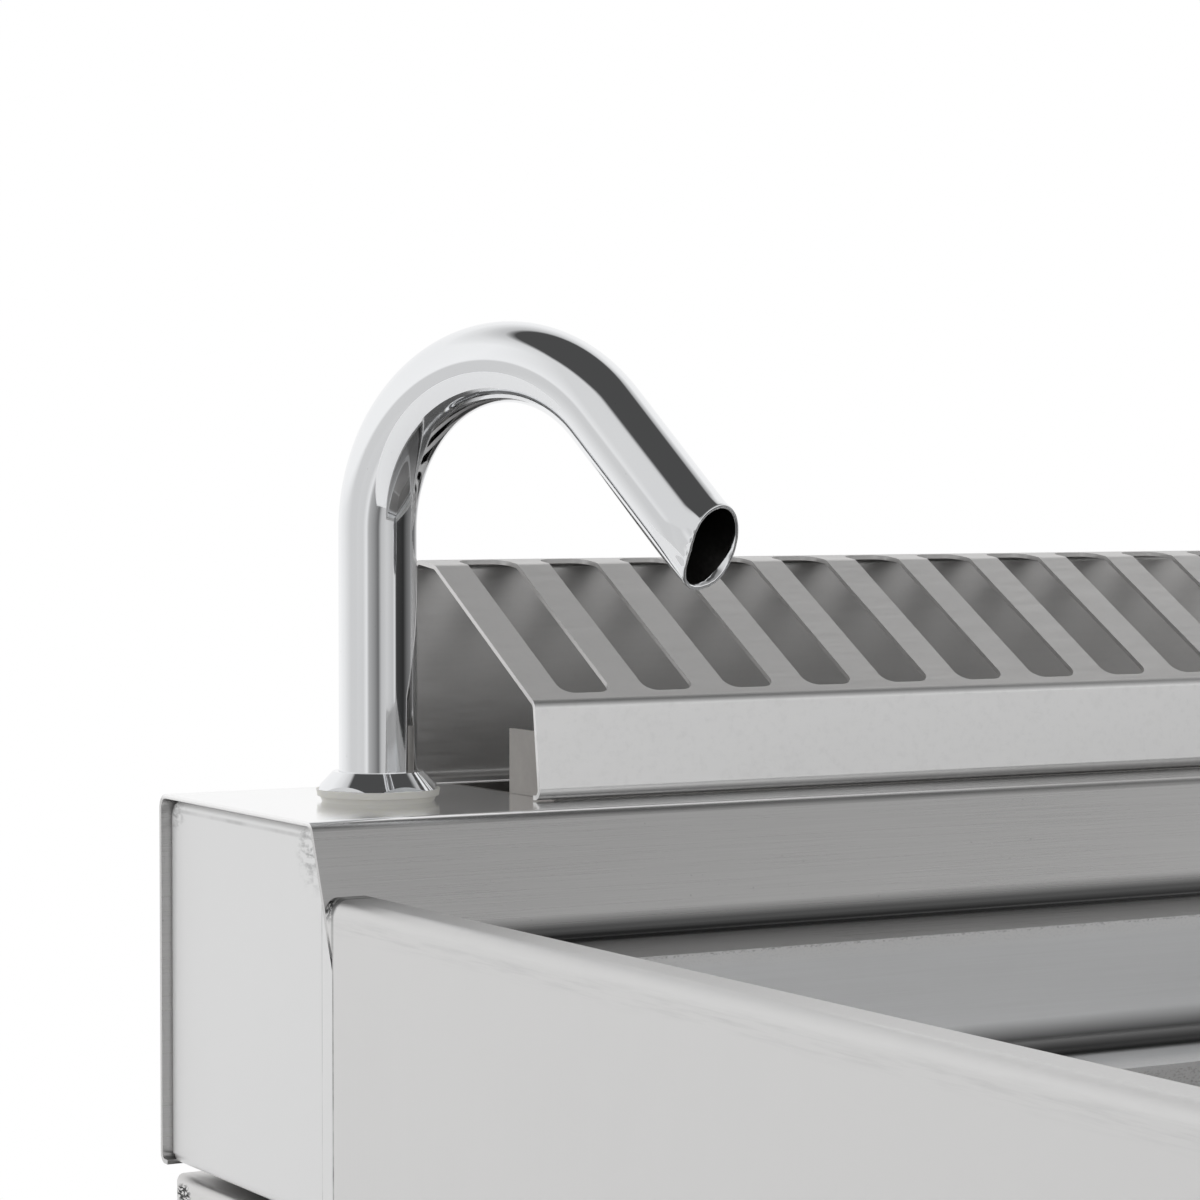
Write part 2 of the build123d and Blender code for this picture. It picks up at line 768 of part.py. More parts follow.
def injectors():
    """The two brass jets, in line with the burner tubes' open ends."""
    jets = Part()
    reach = manifold_forward - manifold_radius - burner_front - 8
    for across in ramp_places:
        jet = hexagon(12, -reach, -reach + 12) + rod(4, -reach + 12, 0)
        jet -= rod(1, -reach - 1, 1)
        jets += to_front(across, manifold_forward - manifold_radius, burner_height) * jet
    return jets


def gas_manifold():
    """The pipe from the gas valve down to the height of the burners and across behind the panel."""
    points = [
        place(gas_across - 30, manifold_forward, valve_height),
        place(manifold_start, manifold_forward, valve_height),
        place(manifold_start, manifold_forward, burner_height),
        place(ramp_places[0] - 15, manifold_forward, burner_height),
    ]
    pipe = tube(points, manifold_radius, pipe_bend)
    for across in ramp_places:
        pipe -= to_front(across, manifold_forward, burner_height) * rod(2, -manifold_radius - 1, 0)
    return pipe


# ---- gas and water: inlets, supply pipes, valves, spindles, knobs and the igniter ----
valve_setback = 55.5
valve_forward = panel_face - valve_setback
valve_radius = 14.0
valve_length = 46.0
neck_end = panel_face + 1.5 - valve_forward
boss_radius = 9.0
boss_reach = 30.0
boss_station = manifold_forward - valve_forward
knob_stand = neck_end + push_travel + 1.5
thread_relief = 1.0


def inlet_fitting(across, thread):
    """A threaded tail, a relieved neck through the rear panel, a hexagon inside it and a pipe socket."""
    face = housing_inset + 2 * sheet + weld_gap
    tail = rod(thread, -inlet_reach, 0) + rod(thread - thread_relief, 0, face)
    tail += hexagon(2 * thread + 6, face, face + 8)
    tail += rod(pipe_radius + 2.5, face + 8, face + 20)
    tail -= rod(pipe_radius - 1, -inlet_reach - 1, face + 21)
    tail -= rod(pipe_radius, face + 10, face + 21)
    return to_front(across, 0, service_height) * tail


def supply_pipe(across):
    """The pipe from the rear inlet, forward along the tray and up to a valve."""
    face = housing_inset + 2 * sheet + weld_gap
    points = [
        place(across, face + 10, service_height),
        place(across, manifold_forward, service_height),
        place(across, manifold_forward, valve_height - boss_reach),
    ]
    return tube(points, pipe_radius, pipe_bend, pipe_radius - 1)


def valve_body(side):
    """A brass valve: barrel, neck through the panel, inlet boss below and outlet boss at one side."""
    barrel = rod(valve_radius, 0, valve_length) + rod(neck_radius, valve_length, neck_end)
    inlet = Pos(0, 0, boss_station) * Rot(90, 0, 0) * rod(boss_radius, 0, boss_reach)
    outlet = Pos(0, 0, boss_station) * Rot(0, 90 * side, 0) * rod(boss_radius, 0, boss_reach)
    body = barrel + inlet + outlet
    return body - rod(spindle_radius + running_fit, spindle_low - push_travel - 8, neck_end + 1)


spindle_low = 26.0


def spindle():
    """The turning shaft between a valve and its knob."""
    return rod(spindle_radius, spindle_low, knob_stand + knob_height * 0.7)


def knob():
    """A turned knob: a flared skirt, a domed body and a raised grip bar with a pointer groove."""
    skirt = rod(knob_radius, 0, 4)
    skirt = fillet(skirt.edges().filter_by(GeomType.CIRCLE).sort_by(Axis.Z)[-1], 1.5)
    body = Pos(0, 0, 9) * Cone(knob_radius - 2, knob_radius - 5, 12)
    body = fillet(body.edges().filter_by(GeomType.CIRCLE).sort_by(Axis.Z)[-1], 2)
    bar = Pos(0, 0, 4) * extrude(SlotOverall(2 * knob_radius - 8, 11, rotation=90), amount=knob_height - 4)
    bar = fillet(bar.faces().sort_by(Axis.Z)[-1].edges(), 1.5)
    shape = skirt + body + bar
    shape -= Pos(0, knob_radius - 10, knob_height) * Box(1.2, 9, 1.2)
    shape -= rod(spindle_radius, -1, knob_height * 0.7)
    shape -= rod(neck_radius + 2, -1, 3)
    return Pos(0, 0, knob_stand) * shape


igniter_radius = 8.0


def igniter_body():
    """The push igniter's barrel, held in the panel by its collar, with the button's bore."""
    face = panel_face - valve_forward
    barrel = rod(igniter_radius, 0, face + weld_gap) + rod(button_collar, face + weld_gap, face + 1.5)
    barrel -= rod(button_radius + running_fit, face - 20, face + 9)
    return to_front(middle, valve_forward, valve_height) * barrel


def igniter_button():
    """The domed push button."""
    face = panel_face - valve_forward
    button = rod(button_radius, face - 12, face + 1.5 + button_travel + 1)
    button = fillet(button.edges().filter_by(GeomType.CIRCLE).sort_by(Axis.Z)[-1], 1.5)
    return to_front(middle, valve_forward, valve_height) * button


def gas_push_rod():
    """The pin in the gas valve that the pressed spindle drives on to open the pilot."""
    pin = rod(spindle_radius - 1, spindle_low - 6, spindle_low - weld_gap)
    return to_front(gas_across, valve_forward, valve_height) * pin


riser_across = 28.0


def water_riser_pipe():
    """The pipe from the water valve back along the left side and up to the shank."""
    points = [
        place(water_across - boss_reach, manifold_forward, valve_height),
        place(riser_across, manifold_forward, valve_height),
        place(riser_across, manifold_forward, service_height + 8),
        place(riser_across, tap_forward, service_height + 8),
        place(riser_across, tap_forward, deck - 150),
        place(tap_across, tap_forward, deck - 110),
        place(tap_across, tap_forward, deck - shank_length - 8),
    ]
    return tube(points, pipe_radius, pipe_bend, pipe_radius - 1)


def riser_union():
    """The hexagon union nut that joins the riser pipe to the shank."""
    nut = hexagon(28, -shank_length - 14, -shank_length + 8)
    nut -= rod(thread_g12, -shank_length, -shank_length + 9)
    nut -= rod(pipe_radius, -shank_length - 15, -shank_length - 7)
    nut -= rod(pipe_radius - 1, -shank_length - 8, -shank_length + 1)
    return upright(tap_across, tap_forward, deck) * nut


pilot_across = middle + 32.0
probe_across = middle + 22.0
spark_across = middle - 22.0
pilot_forward = chamber_front - 14.0


def pilot_burner():
    """The pilot: a hooded jet on a small angle screwed inside the chamber's front wall."""
    hood_top = burner_height + 14
    jet = rod(4, chamber_floor, hood_top) - rod(1.5, chamber_floor - 1, hood_top - 3)
    jet = upright(pilot_across, pilot_forward, 0) * jet
    across = (spark_across - 6, pilot_across + 6)
    wall = chamber_front - sheet - weld_gap
    plate = block(across, (pilot_forward - 5, wall), (burner_height, burner_height + 2))
    angle = block(across, (wall - 3, wall), (burner_height, burner_height + 12))
    holes = upright(probe_across, pilot_forward, 0) * rod(2.5, 0, deck)
    holes += upright(spark_across, pilot_forward, 0) * rod(3.2, 0, deck)
    return jet + plate + angle - holes


def thermocouple():
    """The flame probe, a straight copper-jacketed rod in the pilot's angle."""
    return upright(probe_across, pilot_forward, 0) * rod(2.5, chamber_floor - 6, burner_height + 14)


def spark_electrode():
    """The spark rod: a ceramic sleeve with a bent steel tip."""
    sleeve = upright(spark_across, pilot_forward, 0) * rod(3.2, chamber_floor - 4, burner_height + 8)
    tip = tube([
        place(spark_across, pilot_forward, burner_height + 8),
        place(spark_across, pilot_forward, burner_height + 14),
        place(spark_across + 12, pilot_forward, burner_height + 18),
    ], 0.9, 2.5)
    return sleeve + tip


def pilot_pipe():
    """The thin pipe from the gas valve down and back to the pilot."""
    low = chamber_floor - 6
    points = [
        place(gas_across - 10, manifold_forward + 18, valve_height - valve_radius + 1),
        place(gas_across - 10, manifold_forward + 18, low),
        place(pilot_across, manifold_forward + 18, low),
        place(pilot_across, pilot_forward, low),
        place(pilot_across, pilot_forward, chamber_floor),
    ]
    return tube(points, 2.0, 5.0)


# ---- drain: elbow from the tank, ball valve in front of the panel and its lever ----
drain_valve_forward = panel_face + 44.0
drain_body_radius = 19.0
drain_body_half = 26.0
ball_fit = 0.3
stem_radius = 4.0
stem_top = 30.0


def drain_pipe():
    """The pipe from the tank's drain, down and forward through the panel."""
    points = [
        place(middle, drain_forward, well_floor - tank_sheet),
        place(middle, drain_forward, drain_height),
        place(middle, drain_valve_forward - drain_body_half, drain_height),
    ]
    return tube(points, drain_radius, 20, drain_bore)


def drain_valve_body():
    """The ball valve's body: round barrel, hexagon ends, stem neck and the threaded outlet."""
    outlet_end = depth + drain_reach - drain_valve_forward
    body = rod(drain_body_radius, -drain_body_half + 8, drain_body_half - 8)
    body += hexagon(2 * drain_body_radius - 6, -drain_body_half, drain_body_half)
    body += rod(thread_g34, drain_body_half, outlet_end)
    body += Rot(-90, 0, 0) * rod(stem_radius + 4, 0, stem_top - 5)
    body -= Sphere(ball_radius + ball_fit)
    body -= rod(drain_bore, -drain_body_half - 1, outlet_end + 1)
    body -= Rot(-90, 0, 0) * rod(stem_radius + running_fit, 0, stem_top)
    return to_front(middle, drain_valve_forward, drain_height) * body


def drain_ball():
    """The bored ball, shown shut with its bore across the pipe."""
    ball = Sphere(ball_radius) - Rot(0, 90, 0) * rod(drain_bore, -20, 20)
    ball -= Pos(0, ball_radius, 0) * Box(4, 4, 60)
    return to_front(middle, drain_valve_forward, drain_height) * ball


def drain_stem():
    """The stem that turns the ball."""
    low = ball_radius - 2
    stem = Rot(-90, 0, 0) * rod(stem_radius, low + 2, stem_top + 4)
    key = Pos(0, low + 1.5, 0) * Box(4, 3, 7)
    return to_front(middle, drain_valve_forward, drain_height) * (stem + key)


def drain_lever():
    """The pressed lever, cranked up and sleeved in plastic, lying across the valve when shut."""
    rise = 8.0
    height = drain_height + stem_top
    start = middle - 9
    steps = [
        (start, height),
        (middle + 14, height),
        (middle + 24, height + rise),
        (middle + lever_length, height + rise),
    ]
    line = FilletPolyline(*[(left + a, z) for a, z in steps], radius=4)
    section = Face(line.offset_2d(3, side=Side.LEFT))
    lever = Pos(0, rear - drain_valve_forward, 0) * extrude(Plane.XZ * section, amount=8, both=True)
    ends = lever.edges().filter_by(Axis.Z).sort_by(Axis.X)
    lever = fillet(ends[-2:] + ends[:2], 7)
    return lever - upright(middle, drain_valve_forward, height) * rod(stem_radius, -9, 9)


def drain_lever_nut():
    """The nut that holds the lever on the stem."""
    height = drain_height + stem_top + 3
    nut = hexagon(13, 0, 4) - rod(stem_radius, -1, 5)
    return upright(middle, drain_valve_forward, height) * nut


# ---- fasteners ----
screw_radius = 3.8


def panel_screws():
    """Round-headed screws in the control panel's corners, the rear panel and the grille's rear flange."""
    screws = Part()
    head = rod(screw_radius, 0, 2.2)
    head = fillet(head.edges().filter_by(GeomType.CIRCLE).sort_by(Axis.Z)[-1], 1.4)
    head -= Pos(0, 0, 2.2) * Box(0.9, 4.4, 1.8)
    head -= Pos(0, 0, 2.2) * Box(4.4, 0.9, 1.8)
    for across in (18, width - 18):
        for height in (housing_base + 16, housing_top - 16):
            screws += to_front(across, panel_face, height) * head
    back = housing_inset + sheet + weld_gap
    for across in (26, middle, width - 26):
        for height in (housing_base + 22, housing_top - 14):
            screws += to_front(across, back, height) * Rot(180, 0, 0) * head
    return screws


# ---- write every sub-part ----
rim_left, rim_right, rim_front = aprons()
save("rear_box_shell", rear_box_shell())
save("rear_box_end_cap_left", end_cap())
save("rear_box_end_cap_right", mirrored(end_cap()))
save("worktop_rim_left", rim_left)
save("worktop_rim_right", rim_right)
save("worktop_rim_front", rim_front)
save("worktop_basin", worktop_basin())
save("well_tank", well_tank())
save("basket_rest", basket_rest())
save("flue_duct", flue_duct())
save("flue_grille", flue_grille())
save("fill_spout", fill_spout())
save("spout_washer", spout_washer())
save("spout_collar_nut", spout_collar_nut())
save("spout_shank", spout_shank())
save("deck_seal", deck_seal())
save("spout_o_ring", spout_o_ring())
save("side_panel_left", side_panel())
save("side_panel_right", mirrored(side_panel()))
save("rear_panel", rear_panel())
save("control_panel", control_panel())
save("base_tray", base_tray())
save("foot_bushes", foot_bushes())
for foot_name, (foot_across, foot_forward) in foot_places().items():
    save(foot_name, foot(foot_across, foot_forward))
save("worktop_spacers", spacers())
save("combustion_chamber", combustion_chamber())
for burner_side, burner_across in zip(("left", "right"), ramp_places):
    save(f"burner_tube_{burner_side}", burner_tube(burner_across))
save("burner_brackets", burner_brackets())
save("gas_injectors", injectors())
save("gas_manifold", gas_manifold())
save("water_inlet_fitting", inlet_fitting(water_across, thread_g34))
save("gas_inlet_fitting", inlet_fitting(gas_across, thread_g12))
save("water_supply_pipe", supply_pipe(water_across))
save("gas_supply_pipe", supply_pipe(gas_across))
for service, service_across, outlet_side in (("water", water_across, -1), ("gas", gas_across, -1)):
    spot = to_front(service_across, valve_forward, valve_height)
    save(f"{service}_valve_body", spot * valve_body(outlet_side))
    save(f"{service}_spindle", spot * spindle())
    save(f"{service}_knob", spot * knob())
save("gas_push_rod", gas_push_rod())
save("igniter_body", igniter_body())
save("igniter_button", igniter_button())
save("water_riser_pipe", water_riser_pipe())
save("riser_union_nut", riser_union())
save("pilot_burner", pilot_burner())
save("thermocouple", thermocouple())
save("spark_electrode", spark_electrode())
save("pilot_pipe", pilot_pipe())
save("drain_pipe", drain_pipe())
save("drain_valve_body", drain_valve_body())
save("drain_ball", drain_ball())
save("drain_stem", drain_stem())
save("drain_lever", drain_lever())
save("drain_lever_nut", drain_lever_nut())
save("panel_screws", panel_screws())
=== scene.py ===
import bpy
import math
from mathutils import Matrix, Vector


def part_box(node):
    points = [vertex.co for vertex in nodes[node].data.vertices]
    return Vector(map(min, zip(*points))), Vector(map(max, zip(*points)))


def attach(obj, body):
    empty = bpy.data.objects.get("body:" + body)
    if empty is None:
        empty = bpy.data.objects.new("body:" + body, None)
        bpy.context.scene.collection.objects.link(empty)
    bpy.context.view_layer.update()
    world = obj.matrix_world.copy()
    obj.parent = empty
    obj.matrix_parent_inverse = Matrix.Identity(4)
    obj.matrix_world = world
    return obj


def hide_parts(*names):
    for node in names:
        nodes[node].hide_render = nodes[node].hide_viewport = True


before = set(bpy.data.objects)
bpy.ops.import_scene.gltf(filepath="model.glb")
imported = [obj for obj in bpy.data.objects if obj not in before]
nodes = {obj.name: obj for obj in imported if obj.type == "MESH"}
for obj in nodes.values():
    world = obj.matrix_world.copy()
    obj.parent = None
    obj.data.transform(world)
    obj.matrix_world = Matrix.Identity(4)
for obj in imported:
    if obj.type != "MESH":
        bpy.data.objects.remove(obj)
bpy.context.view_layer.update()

# ---- Rear box ----
# One 1.2 mm stainless sheet folded round the deck, the rear wall, the sloping face and the
# first ledge. It keeps its mill brushing, which runs along the fold lines from end to end.

shell_low, shell_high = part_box("rear_box_shell")
deck_top = shell_high.z
rear_wall = shell_high.y
left_end = shell_low.x
slope_foot = 0.1045
ledge_drop = 0.031


def link(tree, source, target):
    """Joins an output socket to an input socket."""
    tree.links.new(source, target)


def node(tree, kind, **inputs):
    """A shader node with some of its inputs set."""
    made = tree.nodes.new(kind)
    for name, value in inputs.items():
        made.inputs[name.replace("_", " ")].default_value = value
    return made


def noise(tree, stretch, detail=3.0, roughness=0.6, distortion=0.0):
    """A noise over the piece's own metres, drawn out by a different amount along each axis."""
    place = tree.nodes.new("ShaderNodeTexCoord")
    mapping = node(tree, "ShaderNodeMapping", Scale=stretch)
    link(tree, place.outputs["Object"], mapping.inputs["Vector"])
    texture = node(tree, "ShaderNodeTexNoise", Scale=1.0, Detail=detail, Roughness=roughness,
                   Distortion=distortion)
    link(tree, mapping.outputs["Vector"], texture.inputs["Vector"])
    return texture.outputs["Fac"]


def spread(tree, source, low, high, start=0.3, stop=0.7):
    """Maps a grey from start..stop to low..high."""
    ranger = node(tree, "ShaderNodeMapRange", From_Min=start, From_Max=stop, To_Min=low, To_Max=high)
    link(tree, source, ranger.inputs["Value"])
    return ranger.outputs["Result"]


def mixed(tree, amount, first, second):
    """A colour between two, each a socket or a plain colour."""
    mixer = tree.nodes.new("ShaderNodeMix")
    mixer.data_type = "RGBA"
    link(tree, amount, mixer.inputs["Factor"])
    for socket, value in ((mixer.inputs[6], first), (mixer.inputs[7], second)):
        if isinstance(value, bpy.types.NodeSocket):
            link(tree, value, socket)
        else:
            socket.default_value = value
    return mixer.outputs[2]


def combined(tree, operation, first, second):
    """Two greys put together, each a socket or a plain number."""
    sum_node = tree.nodes.new("ShaderNodeMath")
    sum_node.operation = operation
    for socket, value in ((sum_node.inputs[0], first), (sum_node.inputs[1], second)):
        if isinstance(value, bpy.types.NodeSocket):
            link(tree, value, socket)
        else:
            socket.default_value = value
    return sum_node.outputs["Value"]


def raised(tree, shader, height, strength, distance=0.0002):
    """Gives a shader a bump from a grey."""
    bump = node(tree, "ShaderNodeBump", Strength=strength, Distance=distance)
    link(tree, height, bump.inputs["Height"])
    link(tree, bump.outputs["Normal"], shader.inputs["Normal"])


def grey(level, warmth=0.0):
    """A grey of a brightness, a little warmer or cooler."""
    return (level * (1 + warmth), level, level * (1 - warmth), 1.0)


def new_material(name, metallic, roughness):
    """An empty procedural material and its shader."""
    material = bpy.data.materials.new(name)
    material.use_nodes = True
    shader = material.node_tree.nodes["Principled BSDF"]
    shader.inputs["Metallic"].default_value = metallic
    shader.inputs["Roughness"].default_value = roughness
    return material, material.node_tree, shader


def steel(name, level, roughness, stretch, warmth=0.01, contrast=0.10, grain_bump=0.25, marks=()):
    """Stainless sheet: long fine grain, broad clouding, an uneven polish, then marks laid over it.

    A mark is (function of the tree giving its 0..1 extent, its brightness, its roughness)."""
    material, tree, shader = new_material(name, 0.93, roughness)
    grain = noise(tree, stretch, detail=4.0)
    cloud = noise(tree, (9.0, 9.0, 9.0), detail=2.0)
    tone = mixed(tree, spread(tree, grain, 0.0, 1.0), grey(level * (1 - contrast), warmth),
                 grey(level, warmth))
    tone = mixed(tree, spread(tree, cloud, 0.0, 0.35), tone, grey(level * (1 + contrast / 2), warmth / 2))
    polish = combined(tree, "ADD", spread(tree, grain, roughness * 0.85, roughness * 1.2),
                      spread(tree, cloud, -0.02, 0.03))
    for extent, mark_level, mark_roughness in marks:
        reach = extent(tree)
        tone = mixed(tree, reach, tone, grey(mark_level))
        kept = combined(tree, "MULTIPLY", polish, combined(tree, "SUBTRACT", 1.0, reach))
        polish = combined(tree, "ADD", kept, combined(tree, "MULTIPLY", reach, mark_roughness))
    link(tree, tone, shader.inputs["Base Color"])
    link(tree, polish, shader.inputs["Roughness"])
    raised(tree, shader, grain, grain_bump, 0.00003)
    return material


def own_place(tree):
    """Where a point is on the piece, in metres."""
    return tree.nodes.new("ShaderNodeTexCoord").outputs["Object"]


def vectors(tree, operation, first, second):
    """Two vectors put together; the second is a socket or three plain numbers."""
    maths = tree.nodes.new("ShaderNodeVectorMath")
    maths.operation = operation
    link(tree, first, maths.inputs[0])
    if isinstance(second, bpy.types.NodeSocket):
        link(tree, second, maths.inputs[1])
    else:
        maths.inputs[1].default_value = second
    return maths.outputs["Value" if operation in ("DISTANCE", "LENGTH") else "Vector"]


def distance_to(tree, point, along=(1.0, 1.0, 1.0)):
    """How far the surface is from a point, or from a line where one of the axes counts for nothing."""
    flat = vectors(tree, "MULTIPLY", own_place(tree), along)
    return vectors(tree, "DISTANCE", flat, [value * weight for value, weight in zip(point, along)])


def distance_round(tree, middle_y, half_x, half_y, corner, height):
    """How far the surface is from a level rounded rectangle."""
    offset = vectors(tree, "SUBTRACT", own_place(tree), (0.0, middle_y, height))
    size = vectors(tree, "ABSOLUTE", offset, (0.0, 0.0, 0.0))
    past = tree.nodes.new("ShaderNodeSeparateXYZ")
    past_core = vectors(tree, "SUBTRACT", size, (half_x - corner, half_y - corner, 0.0))
    link(tree, past_core, past.inputs["Vector"])
    outside = [combined(tree, "MAXIMUM", past.outputs[axis], 0.0) for axis in ("X", "Y")]
    squares = [combined(tree, "POWER", value, 2.0) for value in outside]
    outward = combined(tree, "SQRT", combined(tree, "ADD", *squares), 0.0)
    inward = combined(tree, "MINIMUM", combined(tree, "MAXIMUM", past.outputs["X"], past.outputs["Y"]), 0.0)
    plan = combined(tree, "SUBTRACT", combined(tree, "ADD", outward, inward), corner)
    both = combined(tree, "ADD", combined(tree, "POWER", combined(tree, "ABSOLUTE", plan, 0.0), 2.0),
                    combined(tree, "POWER", past.outputs["Z"], 2.0))
    return combined(tree, "SQRT", both, 0.0)


def near(tree, distance, reach, soft):
    """1 within a reach, falling to 0 over a softer margin."""
    return spread(tree, distance, 1.0, 0.0, reach, reach + soft)


def broken(tree, extent, stretch, low=0.45, high=0.6):
    """An extent broken up by noise."""
    patches = spread(tree, noise(tree, stretch, detail=5.0), 0.0, 1.0, low, high)
    return combined(tree, "MULTIPLY", extent, patches)


def dress(material, *names):
    """Gives CAD pieces a material."""
    for name in names:
        slots = nodes[name].data.materials
        slots.clear()
        slots.append(material)


GRAIN_ALONG_X = (22.0, 3600.0, 3600.0)
GRAIN_ALONG_Y = (3600.0, 22.0, 3600.0)
GRAIN_UPRIGHT = (1500.0, 1500.0, 20.0)


def slope_fold_painted_shade(tree):
    """Painted shade: a dark line darkening the fold at the foot of the sloping face."""
    place = (0.0, rear_wall - slope_foot - 0.0005, deck_top - ledge_drop + 0.0005)
    return near(tree, distance_to(tree, place, (0.0, 1.0, 1.0)), 0.0028, 0.0035)


def deck_specks(tree):
    """Scattered polishing specks."""
    return spread(tree, noise(tree, (620.0, 620.0, 620.0), detail=2.0), 0.0, 0.5, 0.72, 0.78)


def deck_polish_and_painted_sheen(tree):
    """The deck's top, smoother and with a painted sheen, both strongest at the spout's end."""
    top = near(tree, distance_to(tree, (0.0, 0.0, deck_top), (0.0, 0.0, 1.0)), 0.0004, 0.0012)
    from_left = distance_to(tree, (left_end, 0.0, 0.0), (1.0, 0.0, 0.0))
    return combined(tree, "MULTIPLY", top, near(tree, from_left, 0.03, 0.20))


# The deck mark is partly a smoother polish and partly a painted sheen that lightens the deck.
brushed = steel("stainless_brushed", 0.61, 0.30, GRAIN_ALONG_X, warmth=0.008, contrast=0.12, grain_bump=0.18,
                marks=((deck_polish_and_painted_sheen, 0.98, 0.13), (deck_specks, 0.35, 0.4), (slope_fold_painted_shade, 0.13, 0.25)))
dress(brushed, "rear_box_shell")

# ---- Rear box end caps ----
# Shallow pressed dishes let into the ends of the folded sheet, tacked at their corners and
# ground back, with a joggled strip that runs on into the side apron.

cap_seam = 0.0986


def cap_welds(tree):
    """Burnt and ground patches where the cap is tacked at its two upper corners."""
    from_rear = distance_to(tree, (0.0, rear_wall - 0.004, deck_top - 0.004), (0.0, 1.0, 1.6))
    from_front = distance_to(tree, (0.0, rear_wall - 0.090, deck_top - 0.005), (0.0, 1.0, 0.8))
    rear_corner = near(tree, from_rear, 0.003, 0.007)
    front_corner = near(tree, from_front, 0.003, 0.008)
    corners = combined(tree, "MAXIMUM", rear_corner, front_corner)
    return combined(tree, "MULTIPLY", broken(tree, corners, (500.0, 260.0, 700.0), 0.46, 0.62), 0.6)


def cap_lip_painted_shadow(tree):
    """Painted shadow: a faint dark line under the folded sheet's top edge, where the cap's flange lies behind
    it.
    """
    line = near(tree, distance_to(tree, (0.0, 0.0, deck_top - 0.0042), (0.0, 0.0, 1.0)), 0.0002, 0.0005)
    patches = spread(tree, noise(tree, (30.0, 60.0, 30.0), detail=3.0), 0.1, 0.6)
    return combined(tree, "MULTIPLY", line, patches)


def cap_fold(tree):
    """The scratched line down the joggle between the cap and its strip."""
    line = near(tree, distance_to(tree, (0.0, rear_wall - cap_seam, 0.0), (0.0, 1.0, 0.0)), 0.0002, 0.0003)
    patches = spread(tree, noise(tree, (30.0, 30.0, 90.0), detail=4.0), 0.1, 0.8)
    return combined(tree, "MULTIPLY", line, patches)


cap_steel = steel("stainless_cap", 0.765, 0.36, GRAIN_UPRIGHT, warmth=0.0, contrast=0.03, grain_bump=0.05,
                  marks=((cap_welds, 0.16, 0.5), (cap_lip_painted_shadow, 0.42, 0.45), (cap_fold, 0.30, 0.5)))
dress(cap_steel, "rear_box_end_cap_left", "rear_box_end_cap_right")

# ---- Worktop rims and aprons ----
# Three folded sheets with a rolled upper edge, mitred and welded at the front corners. The
# welds are ground flush, which leaves smeared patches along the rolled edge.

rim_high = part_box("worktop_rim_left")[1]


def apron_seam(tree):
    """The dark seam where the side apron meets the rear box."""
    line = near(tree, distance_to(tree, (0.0, rear_wall - slope_foot, 0.0), (0.0, 1.0, 0.0)), 0.0004, 0.0004)
    patches = spread(tree, noise(tree, (30.0, 30.0, 130.0), detail=4.0), 0.3, 1.0)
    return combined(tree, "MULTIPLY", line, patches)


def weld_spot(tree):
    """The burnt end of the weld at the apron's rear upper corner."""
    spot = near(tree, distance_to(tree, (left_end, rear_wall - 0.1015, rim_high.z - 0.001)), 0.0020, 0.0030)
    return broken(tree, spot, (900.0, 900.0, 900.0), 0.38, 0.5)


def rim_smears(tree):
    """Faint grinding smears just under the rolled edge."""
    edge = near(tree, distance_to(tree, (0.0, 0.0, rim_high.z - 0.0055), (0.0, 0.0, 1.0)), 0.0006, 0.0030)
    return combined(tree, "MULTIPLY", broken(tree, edge, (260.0, 45.0, 900.0), 0.46, 0.66), 0.30)


apron_steel = steel("stainless_apron", 0.70, 0.38, GRAIN_UPRIGHT, warmth=0.006, contrast=0.03,
                    grain_bump=0.05,
                    marks=((rim_smears, 0.5, 0.45), (apron_seam, 0.16, 0.5), (weld_spot, 0.05, 0.5)))
dress(apron_steel, "worktop_rim_left", "worktop_rim_right", "worktop_rim_front")

# ---- Basin ----
# The first ledge, the step and the lower ledge, welded inside the rims. The fold at the foot of the
# step is darkened with painted shade, and the welds along the ledges are ground bright with a coarse disc.

basin_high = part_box("worktop_basin")[1]
basin_rear = rear_wall - 0.142
basin_front = rear_wall - 0.650
basin_half = 0.150
basin_middle = (basin_rear + basin_front) / 2
basin_half_length = (basin_rear - basin_front) / 2
basin_corner = 0.020
step_drop = 0.032
lower_ledge = basin_high.z - step_drop
well_rear = rear_wall - 0.171
well_front = rear_wall - 0.590
well_half = 0.138
well_corner = 0.035


def step_fold_painted_shade(tree):
    """Painted shade in the fold at the foot of the step."""
    distance = distance_round(tree, basin_middle, basin_half, basin_half_length, basin_corner, lower_ledge)
    return near(tree, distance, 0.0040, 0.0050)


def ground_upper(tree):
    """The ground weld along the first ledge's edge."""
    distance = distance_round(tree, basin_middle, basin_half, basin_half_length, basin_corner, basin_high.z)
    edge = near(tree, distance, 0.0016, 0.0026)
    return broken(tree, edge, (900.0, 500.0, 1800.0), 0.30, 0.52)


def ground_lower(tree):
    """The ground weld round the well's edge."""
    distance = distance_round(tree, (well_rear + well_front) / 2, well_half, (well_rear - well_front) / 2,
                              well_corner, lower_ledge)
    return broken(tree, near(tree, distance, 0.0060, 0.0060), (900.0, 500.0, 1800.0), 0.30, 0.52)


def ledge_top_painted_shade(tree):
    """Painted shade on the first ledge's narrow top, which is also made a little smoother."""
    level_top = near(tree, distance_to(tree, (0.0, 0.0, basin_high.z), (0.0, 0.0, 1.0)), 0.0003, 0.0004)
    return combined(tree, "MULTIPLY", level_top, 0.7)


# The ledge top's darker grey and the step fold's dark line are painted shade.
basin_steel = steel("stainless_basin", 0.95, 0.52, GRAIN_ALONG_X, warmth=-0.008, contrast=0.06,
                    grain_bump=0.15,
                    marks=((ledge_top_painted_shade, 0.42, 0.4), (step_fold_painted_shade, 0.16, 0.3), (ground_upper, 1.0, 0.40),
                           (ground_lower, 1.0, 0.40)))
dress(basin_steel, "worktop_basin")

